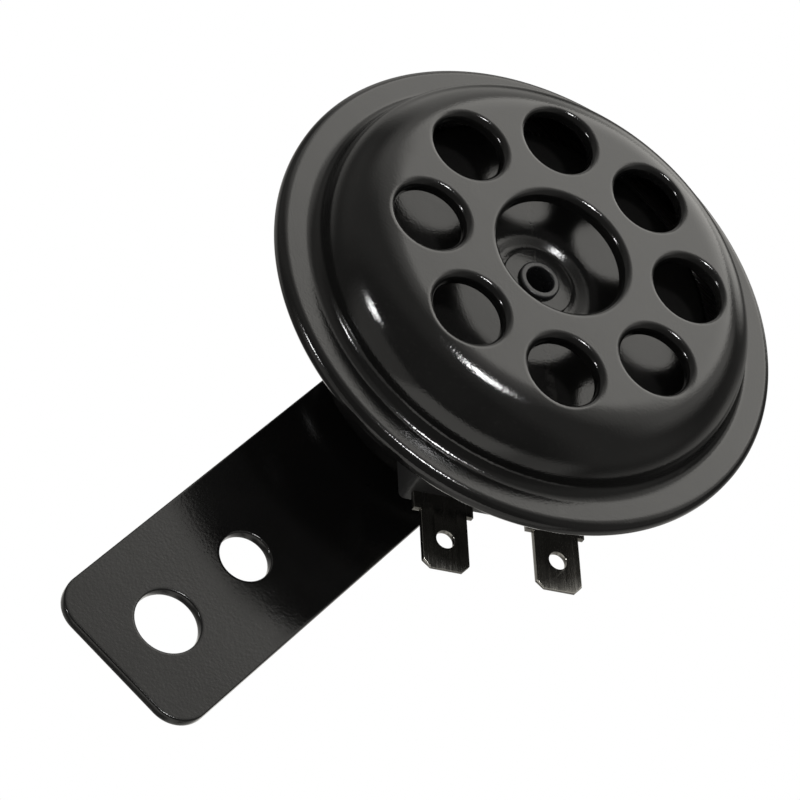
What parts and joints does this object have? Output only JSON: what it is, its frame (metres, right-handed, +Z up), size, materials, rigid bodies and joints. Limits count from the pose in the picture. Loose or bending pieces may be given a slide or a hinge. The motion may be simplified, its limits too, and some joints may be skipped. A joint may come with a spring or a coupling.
{
  "type": "car horn",
  "caption": "Black electric disc horn for a car, with a domed cover pierced by sound holes, a flat strip bracket and push-on terminal tabs.",
  "frame": {"origin": "centre of the bracket's large (8.5 mm) hole, on the bracket's rear face, which sits on the car body", "axes": "+Y points backwards, into the car body and along the mounting bolt; -Y is where the sound goes; +Z runs up along the strip bracket, away from the horn; +X completes a right-handed frame"},
  "size_m": [0.07, 0.0398, 0.1059],
  "materials": {
    "cover_paint": "gloss black paint over pressed steel",
    "disc_paint": "gloss black paint, lightly grained",
    "housing_paint": "gloss black paint over a drawn steel cup",
    "bracket_paint": "semi-gloss black powder coat with a fine orange peel",
    "black_steel": "blackened steel, lightly oiled",
    "zinc_steel": "bright zinc plate",
    "tab_metal": "tin plate with stamped, brushed edges",
    "soft_iron": "turned soft iron, thin zinc plate",
    "spring_steel": "hardened spring steel strip",
    "contact_metal": "tungsten, ground flat",
    "copper_wire": "enamelled copper",
    "moulded_plastic": "black glass-filled moulding",
    "bobbin_plastic": "natural nylon moulding",
    "strip_insulation": "brown laminated paper strip",
    "gasket_paper": "pressed gasket paper",
    "lacquer": "dried red sealing lacquer"
  },
  "bodies": {
    "housing": {"front_cover": "cover_paint", "front_gasket": "gasket_paper", "diaphragm": "spring_steel", "rear_gasket": "gasket_paper", "rear_housing": "housing_paint", "pole_core": "soft_iron", "yoke_plate": "soft_iron", "coil_bobbin": "bobbin_plastic", "coil_winding": "copper_wire", "breaker_bracket": "zinc_steel", "rear_insulator": "strip_insulation", "moving_contact_arm": "spring_steel", "moving_contact_point": "contact_metal", "middle_insulator": "strip_insulation", "fixed_contact_arm": "zinc_steel", "fixed_contact_point": "contact_metal", "front_insulator": "strip_insulation", "clamp_plate": "zinc_steel", "breaker_rivets": "zinc_steel", "foot_rivet": "zinc_steel", "adjusting_screw": "zinc_steel", "adjuster_nut": "zinc_steel", "screw_seal": "lacquer", "terminal_block": "moulded_plastic", "coil_terminal": "tab_metal", "breaker_terminal": "tab_metal", "terminal_lead": "copper_wire", "coil_lead": "copper_wire", "breaker_lead": "copper_wire", "spacer_washer": "zinc_steel", "mounting_bracket": "bracket_paint", "lock_washer": "zinc_steel", "mounting_nut": "zinc_steel"},
    "vibrator": {"centre_rivet": "black_steel", "hub_washer": "disc_paint", "tone_disc": "disc_paint", "front_spacer": "zinc_steel", "rear_spacer": "zinc_steel", "armature": "soft_iron", "push_pin": "bobbin_plastic"}
  },
  "joints": [
    {"name": "armature_stroke", "type": "slide", "parent": "housing", "child": "vibrator", "axis": [0, 1, 0], "range_m": [-0.0002, 0.0004], "stiffness_N_per_m": 20000, "deforming": ["diaphragm", "moving_contact_arm"]}
  ]
}
